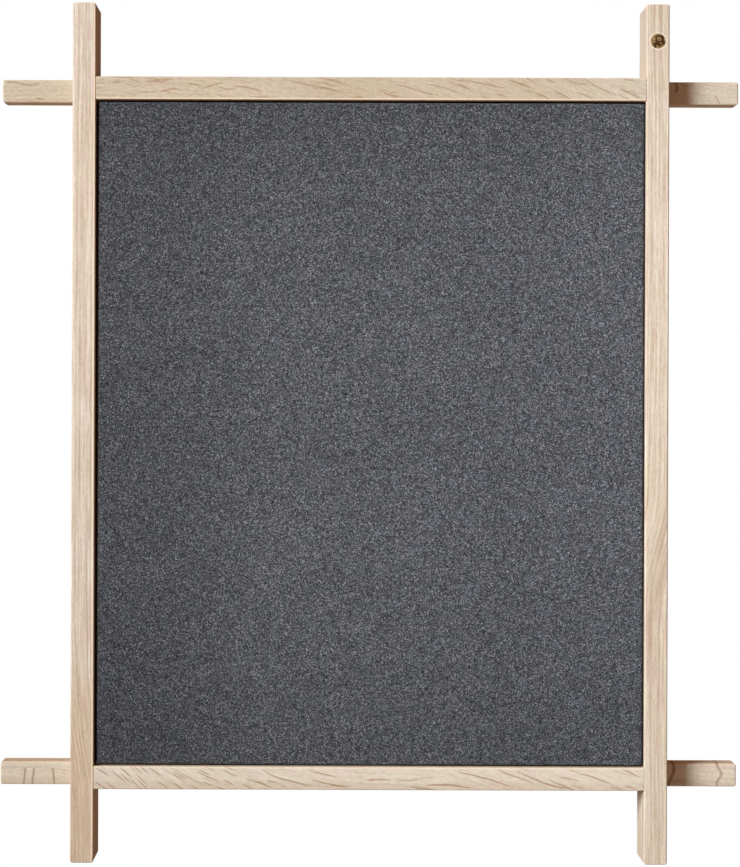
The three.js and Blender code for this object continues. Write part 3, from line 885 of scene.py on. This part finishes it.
@dataclass(frozen=True)
class FibreBoard:
    """Pressed wood fibre.

    name: the material's name
    pale: colour of the palest fibre
    deep: colour of the darkest
    fibre: length of a fibre, metres
    roughness: of its surface
    relief: how far the fibres stand out, metres
    """

    name: str
    pale: Colour
    deep: Colour
    fibre: float
    roughness: float
    relief: float

    def material(self) -> bpy.types.Material:
        """Two scatters of short strokes at right angles, under a slow clouding.

        Returns:
            The board's material.
        """
        board = Recipe(self.name)
        x, y, z = board.place()
        size = 1.0 / self.fibre
        one = board.noise(x * size, y * size * 4.0, z * size * 4.0, detail=2.0, distortion=0.6)
        two = board.noise(x * size * 4.0, y * size * 4.0 + 5.0, z * size, detail=2.0, distortion=0.6)
        cloud = board.noise(x * 18.0, y * 18.0, z * 18.0, detail=2.0)
        tone = one * 0.5 + two * 0.5 + (cloud - 0.5) * 0.5
        _, lot, _ = board.cells(x * size * 1.3, y * size * 1.3, z * size * 1.3)
        colour = board.tint(board.ramp(tone, (0.3, self.deep), (0.7, self.pale)), lot.rise(0.9, 0.97) * 0.5, self.deep)
        board.relief(one + two, self.relief, 0.8)
        return board.surface(colour, self.roughness + (tone - 0.5) * 0.2, Specular_IOR_Level=0.3)


@dataclass(frozen=True)
class ZincSteel:
    """Steel with a bright zinc coat, a little clouded, with the marks of handling.

    shade: colour of the metal where it is brightest
    """

    shade: Colour = (0.40, 0.41, 0.43)

    def material(self) -> bpy.types.Material:
        """Large soft spangles, and fine scratches as noise that is stretched up and down.

        Returns:
            The metal's material.
        """
        zinc = Recipe("zinc_steel")
        x, y, z = zinc.place()
        _, lot, _ = zinc.cells(x * 260.0, y * 260.0, z * 260.0)
        scratch = zinc.noise(x * 5200.0, y * 5200.0, z * 260.0, detail=2.0)
        cloud = zinc.noise(x * 160.0, y * 160.0, z * 160.0, detail=2.0)
        tone = 0.35 + lot * 0.25 + scratch * 0.25 + cloud * 0.3
        dim = tuple(c * 0.72 for c in self.shade)
        colour = zinc.ramp(tone, (0.3, dim), (0.95, self.shade))
        zinc.relief(scratch, 0.00002, 0.6)
        return zinc.surface(colour, 0.42 + cloud * 0.22, Metallic=1.0)


@dataclass(frozen=True)
class AgedBrass:
    """Turned brass that has darkened, and shines where it is rubbed.

    centre: the middle of the turned face, metres
    dark: colour of the patina
    bright: colour of the rubbed metal
    """

    centre: Point
    dark: Colour = (0.060, 0.029, 0.010)
    bright: Colour = (0.50, 0.325, 0.155)

    def material(self) -> bpy.types.Material:
        """Fine rings about the centre from the lathe, under a patina of stirred noise that is thin at the rim.

        Returns:
            The metal's material.
        """
        brass = Recipe("aged_brass")
        x, y, z = brass.place()
        x, z = x - self.centre[0], z - self.centre[2]
        radius = (x.squared() + z.squared()).root()
        rings = brass.noise(radius * 9000.0, 0.0, 4.0)
        patina = brass.noise(x * 340.0, y * 340.0, z * 340.0 + 3.0, detail=3.0, distortion=1.2)
        rubbed_and_highlit = (patina.rise(0.45, 0.61) * 0.75).at_least(radius.rise(0.0040, 0.0049) * patina.rise(0.34, 0.55) * 0.9)
        colour = brass.tint(self.dark, rubbed_and_highlit, self.bright)
        brass.relief(rings, 0.00002, 0.5)
        return brass.surface(colour, 0.36 - rubbed_and_highlit * 0.1 + (rings - 0.5) * 0.1, Metallic=1.0)


# Meshes

def make_object(name: str, data: bpy.types.ID) -> bpy.types.Object:
    """Puts a mesh, a lamp or a camera into the scene.

    Args:
        name: the object's name.
        data: what it shows.

    Returns:
        The object, at the origin.
    """
    made = bpy.data.objects.new(name, data)
    bpy.context.scene.collection.objects.link(made)
    return made


def make_piece(name: str, points: np.ndarray, faces: Sequence[Sequence[int]],
               cut: Optional[np.ndarray] = None) -> bpy.types.Object:
    """Joins points with faces.

    Args:
        name: the piece's name.
        points: points by 3, metres.
        faces: the point numbers of each face.
        cut: points by 2, where each lies on the cloth as it was cut, metres, or nothing. The faces are four-sided.

    Returns:
        The piece, smooth, with its object at the origin.
    """
    mesh = bpy.data.meshes.new(name)
    mesh.from_pydata(points, [], faces)
    mesh.polygons.foreach_set("use_smooth", np.ones(len(faces), bool))
    if cut is not None:
        layer = mesh.uv_layers.new(name="cut")
        layer.uv.foreach_set("vector", cut[faces.ravel()].ravel().astype(np.float32))
    mesh.update()
    return make_object(name, mesh)


def quads(number: np.ndarray) -> np.ndarray:
    """The four-sided faces, each between neighbours in two rows and two columns of a grid of point numbers."""
    return np.stack([number[:-1, :-1], number[:-1, 1:], number[1:, 1:], number[1:, :-1]], axis=-1).reshape(-1, 4)


@dataclass(frozen=True)
class Lathe:
    """A profile turned about a line along Y.

    profile: pairs of radius and Y, from the axis in front to the axis behind
    centre: X and Z of the axis
    sides: faces round it
    """

    profile: Pairs
    centre: Pair
    sides: int = 72

    def as_object(self, name: str) -> bpy.types.Object:
        """A point is (radius cos angle, Y, radius sin angle) about the axis. The two ends are single points.

        Args:
            name: the object's name.

        Returns:
            The closed object, at the origin, with its faces outwards.
        """
        radius, depth = np.array(self.profile).T
        angle = np.linspace(0.0, math.tau, self.sides, endpoint=False)
        r, a = np.meshgrid(radius[1:-1], angle, indexing="ij")
        y = np.repeat(depth[1:-1, None], self.sides, axis=1)
        rings = np.stack([self.centre[0] + r * np.cos(a), y, self.centre[1] + r * np.sin(a)], axis=-1).reshape(-1, 3)
        front = (self.centre[0], depth[0], self.centre[1])
        back = (self.centre[0], depth[-1], self.centre[1])
        points = np.vstack([rings, front, back])

        number = np.arange(len(rings)).reshape(len(radius) - 2, self.sides)
        turned = np.roll(number, -1, axis=1)
        walls = quads(np.hstack([number, number[:, :1]]))
        near = np.stack([np.full(self.sides, len(rings)), turned[0], number[0]], axis=-1)
        far = np.stack([np.full(self.sides, len(rings) + 1), number[-1], turned[-1]], axis=-1)
        made = make_piece(name, points, [*walls.tolist(), *near.tolist(), *far.tolist()])
        made.data.set_sharp_from_angle(angle=math.radians(28.0))
        return made


def dress(node: str, material: bpy.types.Material) -> None:
    """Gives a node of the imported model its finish.

    Args:
        node: its name.
        material: the finish.
    """
    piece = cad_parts[node]
    if not piece.material_slots:
        piece.data.materials.append(material)
    for slot in piece.material_slots:
        slot.material = material


# Sub-assemblies

class SubAssembly:
    """What can be made and dressed, and tells which pieces it has."""

    def build(self) -> list[str]:
        """Makes its pieces, dresses its nodes and returns their names."""
        raise NotImplementedError


@dataclass
class OakFrame(SubAssembly):
    """Two stiles and two rails, each with its own grain.

    bars: how each bar was sawn
    """

    bars: tuple[Oak, ...] = (LEFT_STILE, RIGHT_STILE, TOP_RAIL, BOTTOM_RAIL)

    def build(self) -> list[str]:
        """Dresses the four bars.

        Returns:
            The names of its pieces.
        """
        for bar in self.bars:
            dress(bar.node, bar.material())
        return [bar.node for bar in self.bars]


@dataclass
class FabricPad(SubAssembly):
    """Soft board under a stretched cloth that is turned over its edges and on to its back.

    roll: radius that the cloth goes round the board's edges on
    hem: how far the cloth comes in over the board's back
    thick: thickness of the cloth
    swell: how far the front stands out in soft waves
    step: distance from one point of the cloth's front to the next
    flat: width and length of the cloth as it was cut, which cloth() works out
    """

    roll: float = 0.0020
    hem: float = 0.028
    thick: float = 0.0009
    swell: float = 0.00012
    step: float = 0.0034
    flat: Pair = (0.0, 0.0)

    def wrap(self, front: float, back: float) -> tuple[np.ndarray, np.ndarray, np.ndarray]:
        """The cloth's path over an edge of the pad, from the end of its flat front to the end of its hem: round a
        quarter circle, straight back, round another, and level again on the back.

        Args:
            front: Y of the pad's front.
            back: Y of its back.

        Returns:
            How far out of the flat front's edge each row is, its Y, and its distance along the cloth.
        """
        quarter = np.linspace(0.0, math.pi / 2, 7)
        out, deep = self.roll * np.sin(quarter), self.roll * (1.0 - np.cos(quarter))
        side = np.linspace(front + self.roll, back - self.roll, 5)[1:-1]
        hem = np.linspace(self.roll, self.roll - self.hem, 9)[1:] - self.roll
        outward = np.concatenate([out, np.full(len(side), self.roll), out[::-1], hem])
        y = np.concatenate([front + deep, side, back - deep[::-1], np.full(len(hem), back)])
        gone = np.concatenate([[0.0], np.cumsum(np.hypot(np.diff(outward), np.diff(y)))])
        return outward, y, gone

    def carry(self, at: np.ndarray, flat: float, outward: np.ndarray, gone: np.ndarray) -> tuple[np.ndarray, ...]:
        """Takes the front's border along the path of wrap, in one direction. A point on an edge that faces that way
        goes out or in with the path. Any other keeps its place, drawn in with the hem, so that the corners are mitred.

        Args:
            at: places along that direction of the border's points.
            flat: half the flat front's size in it.
            outward: how far out each row of the path is, as a column.
            gone: each row's distance along the cloth, as a column.

        Returns:
            The places by row and point, and the same on the cloth as it was cut.
        """
        edge = np.where(np.isclose(np.abs(at), flat), np.sign(at), 0.0)
        rim = np.where(edge != 0, edge * (flat + outward), at * np.clip((flat + outward) / flat, None, 1.0))
        return rim, np.where(edge != 0, edge * (flat + gone), rim)

    def cloth(self) -> bpy.types.Object:
        """The front is a grid with soft waves in it, sums of sines that fade towards its edges. Its border is a loop of
        points, and each further row is that loop, carried on along the path of wrap.

        Returns:
            The cloth, as thick as it is.
        """
        low, high = (np.array(corner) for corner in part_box("fabric_cover"))
        middle, half = (low + high) / 2, (high - low) / 2
        flat_x, flat_z = half[0] - self.roll, half[2] - self.roll
        xs = np.linspace(-flat_x, flat_x, int(2 * flat_x / self.step))
        zs = np.linspace(-flat_z, flat_z, int(2 * flat_z / self.step))
        grid_x, grid_z = np.meshgrid(xs, zs)
        calm_edge = 0.02
        calm = (np.clip((flat_x - np.abs(grid_x)) / calm_edge, 0, 1)
                * np.clip((flat_z - np.abs(grid_z)) / calm_edge, 0, 1))
        waves = (np.sin(grid_x * 61.0 + 1.3 * np.sin(grid_z * 23.0)) + np.sin(grid_z * 47.0 + grid_x * 19.0)) / 2
        grid_y = low[1] + self.swell * calm * (1.0 + waves) / 2
        number = np.arange(grid_x.size).reshape(grid_x.shape)
        front = quads(number)

        loop = np.concatenate([number[0, :-1], number[:-1, -1], number[-1, :0:-1], number[:0:-1, 0]])
        outward, deep, gone = (column[1:, None] for column in self.wrap(low[1], high[1]))
        rim_x, cut_u = self.carry(grid_x.ravel()[loop], flat_x, outward, gone)
        rim_z, cut_v = self.carry(grid_z.ravel()[loop], flat_z, outward, gone)
        rim_y = np.repeat(deep, len(loop), axis=1)
        rings = np.vstack([loop, number.size + np.arange(rim_x.size).reshape(rim_x.shape)])
        outwards = [0, 3, 2, 1]
        border = quads(np.hstack([rings, rings[:, :1]]))[:, outwards]
        x, y, z, u, v = (np.concatenate([grid.ravel(), rim.ravel()]) for grid, rim in (
            (grid_x, rim_x), (grid_y, rim_y), (grid_z, rim_z), (grid_x, cut_u), (grid_z, cut_v)))
        points = np.stack([middle[0] + x, y, middle[2] + z], axis=-1)
        self.flat = (2.0 * float(flat_x + gone[-1, 0]), 2.0 * float(flat_z + gone[-1, 0]))
        made = make_piece("wool_cloth", points, np.vstack([front, border]), np.stack([u, v], axis=-1))
        solid = made.modifiers.new("thickness", "SOLIDIFY")
        solid.thickness, solid.offset, solid.use_even_offset = self.thick, -1.0, True
        return made

    def build(self) -> list[str]:
        """Makes the cloth and dresses the soft board.

        Returns:
            The names of its pieces.
        """
        cloth = self.cloth()
        cloth.data.materials.append(MelangeWool().material())
        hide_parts("fabric_cover")
        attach(cloth, "root")
        soft = FibreBoard("soft_board", pale=(0.46, 0.33, 0.19), deep=(0.30, 0.19, 0.10), fibre=0.0035, roughness=0.95,
                          relief=0.00025)
        dress("softboard_core", soft.material())
        return ["wool_cloth", "softboard_core"]


@dataclass
class BrassStud(SubAssembly):
    """A plain turned disc with a raised rim, let into the right stile.

    radius: of its face
    rim: width of the raised rim
    dish: how deep the face lies below the rim
    thick: from its front to its back
    stem: radius of the stem behind it
    """

    radius: float = 0.00525
    rim: float = 0.00055
    dish: float = 0.00016
    thick: float = 0.0018
    stem: float = 0.0015

    def build(self) -> list[str]:
        """Turns the disc and its stem.

        Returns:
            The names of its pieces.
        """
        low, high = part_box("brass_disc")
        x, z = (low[0] + high[0]) / 2, (low[2] + high[2]) / 2
        front, back, stem_end = low[1], low[1] + self.thick, high[1]
        floor = front + self.dish
        inner = self.radius - self.rim
        profile = (
            (0.0, floor), (self.stem, floor), (0.0030, floor), (inner - 0.00035, floor),
            (inner - 0.00012, floor - 0.00005), (inner, front + 0.00003), (inner + 0.00012, front),
            (self.radius - 0.00025, front), (self.radius - 0.0001, front + 0.00005), (self.radius, front + 0.0002),
            (self.radius, back), (self.stem, back), (self.stem, stem_end), (0.0, stem_end),
        )
        stud = Lathe(profile, (x, z)).as_object("brass_stud")
        stud.data.materials.append(AgedBrass((x, front, z)).material())
        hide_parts("brass_disc")
        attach(stud, "root")
        return ["brass_stud"]


@dataclass
class BackFittings(SubAssembly):
    """Backing board, keyhole hangers and every screw.

    steel: how the names of the steel pieces begin
    """

    steel: tuple[str, ...] = ("lap_screw", "backing_screw", "left_hanger", "right_hanger")

    def build(self) -> list[str]:
        """Dresses the board and the steel pieces.

        Returns:
            The names of its pieces.
        """
        board = FibreBoard("hardboard", pale=(0.235, 0.130, 0.062), deep=(0.150, 0.078, 0.034), fibre=0.0022,
                           roughness=0.55, relief=0.00005)
        dress("backing_board", board.material())
        zinc = ZincSteel().material()
        steel = [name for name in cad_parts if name.startswith(self.steel)]
        for name in steel:
            dress(name, zinc)
        return ["backing_board", *steel]


# Stage

@dataclass
class Studio:
    """Floor, lamps, world and camera.

    floor_height: Z of the floor, metres
    floor_reach: how far it reaches to each side
    eye: where the camera stands
    focal: the lens's focal length over the picture's height
    swing: how far the picture's middle lies to the right of the camera's axis, over the picture's height
    drop: how far it lies below the camera's axis, over the picture's height
    roll: how far the camera leans, radians
    key_side: how far the key light comes from the left, degrees
    key_lift: how high it stands, degrees
    key_strength: its strength
    key_angle: how broad it is, degrees
    key_colour: its colour
    pool_power: strength of the pool of light
    pool_aim: the middle of the pool
    rear_strength: strength of the light from behind
    ambient: colour of the light from all around
    """

    floor_height: float = -1.10
    floor_reach: float = 1.3
    eye: Point = (-0.030, -1.43592, -0.26801)
    focal: float = 1918.41 / 867
    swing: float = 41.0 / 867
    drop: float = 33.5 / 867
    roll: float = 0.00347
    key_side: float = 55.0
    key_lift: float = 20.0
    key_strength: float = 3.44
    key_angle: float = 25.0
    key_colour: Colour = (0.913, 1.0, 1.05)
    pool_power: float = 110.0
    pool_aim: Point = (0.17, -0.03, -0.22)
    rear_strength: float = 2.6
    ambient: Colour = (0.235, 0.131, 0.078)

    def camera(self) -> None:
        """The camera looks straight at the wall, and a small shift centres the board."""
        lens = bpy.data.cameras.new("camera")
        lens.sensor_width = 36.0
        lens.lens = 36.0 * self.focal
        lens.shift_x, lens.shift_y = self.swing, -self.drop
        lens.clip_start, lens.clip_end = 0.05, 50.0
        made = make_object("camera", lens)
        made.location = self.eye
        made.rotation_euler = (math.pi / 2, -self.roll, 0.0)
        bpy.context.scene.camera = made

    def lamps(self) -> None:
        """A broad key from the upper left, a pool of light from the same side that is brightest at the upper right
        of the panel, and a lamp behind that only the back sees."""
        side, lift = math.radians(self.key_side), math.radians(self.key_lift)
        towards = np.array([math.sin(side) * math.cos(lift), math.cos(side) * math.cos(lift), -math.sin(lift)])
        key = bpy.data.lights.new("key", "SUN")
        key.energy, key.angle = self.key_strength, math.radians(self.key_angle)
        key.color = self.key_colour
        pool = bpy.data.lights.new("pool", "SPOT")
        pool.energy, pool.shadow_soft_size = self.pool_power, 0.35
        pool.spot_size, pool.spot_blend = math.radians(30.0), 1.0
        rear = bpy.data.lights.new("rear", "SUN")
        rear.energy, rear.angle = self.rear_strength, math.radians(10.0)
        forward = np.array([0.0, -1.0, 0.0])
        for lamp, way, distance in ((key, towards, 2.0), (pool, towards, 2.2), (rear, forward, 2.0)):
            made = make_object(lamp.name, lamp)
            made.location = np.array(self.pool_aim) - way * distance
            made.rotation_mode = "QUATERNION"
            made.rotation_quaternion = Vector(way).to_track_quat("-Z", "Y")

    def floor(self) -> None:
        """A plain pale sheet under the board that fades to the white around it."""
        line = np.linspace(-self.floor_reach, self.floor_reach, 9)
        x, y = np.meshgrid(line, line)
        points = np.stack([x, y, np.full_like(x, self.floor_height)], axis=-1).reshape(-1, 3)
        made = make_piece("floor", points, quads(np.arange(x.size).reshape(x.shape)))
        pale = Recipe("pale_floor")
        px, py, pz = pale.place()
        speck = pale.noise(px * 30.0, py * 30.0, pz, detail=3.0)
        colour = pale.ramp(speck, (0.3, (0.80, 0.80, 0.80)), (0.7, (0.84, 0.84, 0.84)))
        far = (px.squared() + py.squared()).root()
        seen = Field(pale, pale.node("ShaderNodeLightPath").outputs["Is Camera Ray"])
        made.data.materials.append(pale.surface(
            colour, 0.9, Specular_IOR_Level=0.1, Alpha=far.fall(0.55, 1.25), Emission_Color=(0.98, 1.0, 1.0),
            Emission_Strength=seen * 0.38))

    def world(self) -> None:
        """White to the camera and to what shines or lets light through, and dim and warm as a light."""
        world = bpy.data.worlds.new("studio")
        bpy.context.scene.world = world
        sky = Nodes(world)
        path = sky.node("ShaderNodeLightPath").outputs
        seen, shining, through = (Field(sky, path[f"Is {ray} Ray"]) for ray in ("Camera", "Glossy", "Transmission"))
        white = sky.tint(self.ambient, seen.at_least(shining).at_least(through), (1.0, 1.0, 1.0))
        sky.feed(sky.tree.nodes["Background"].inputs[0], white)

    def build(self) -> None:
        """Sets the stage."""
        self.camera()
        self.lamps()
        self.floor()
        self.world()
        bpy.context.scene.view_settings.view_transform = "Standard"


def main() -> None:
    """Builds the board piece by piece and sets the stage."""
    logging.basicConfig(level=logging.INFO, format="%(name)s: %(message)s")
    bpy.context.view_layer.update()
    for assembly in (OakFrame(), FabricPad(), BrassStud(), BackFittings()):
        LOG.info("%s: %s", type(assembly).__name__, ", ".join(assembly.build()))
    Studio().build()


if __name__ == "__main__":
    main()
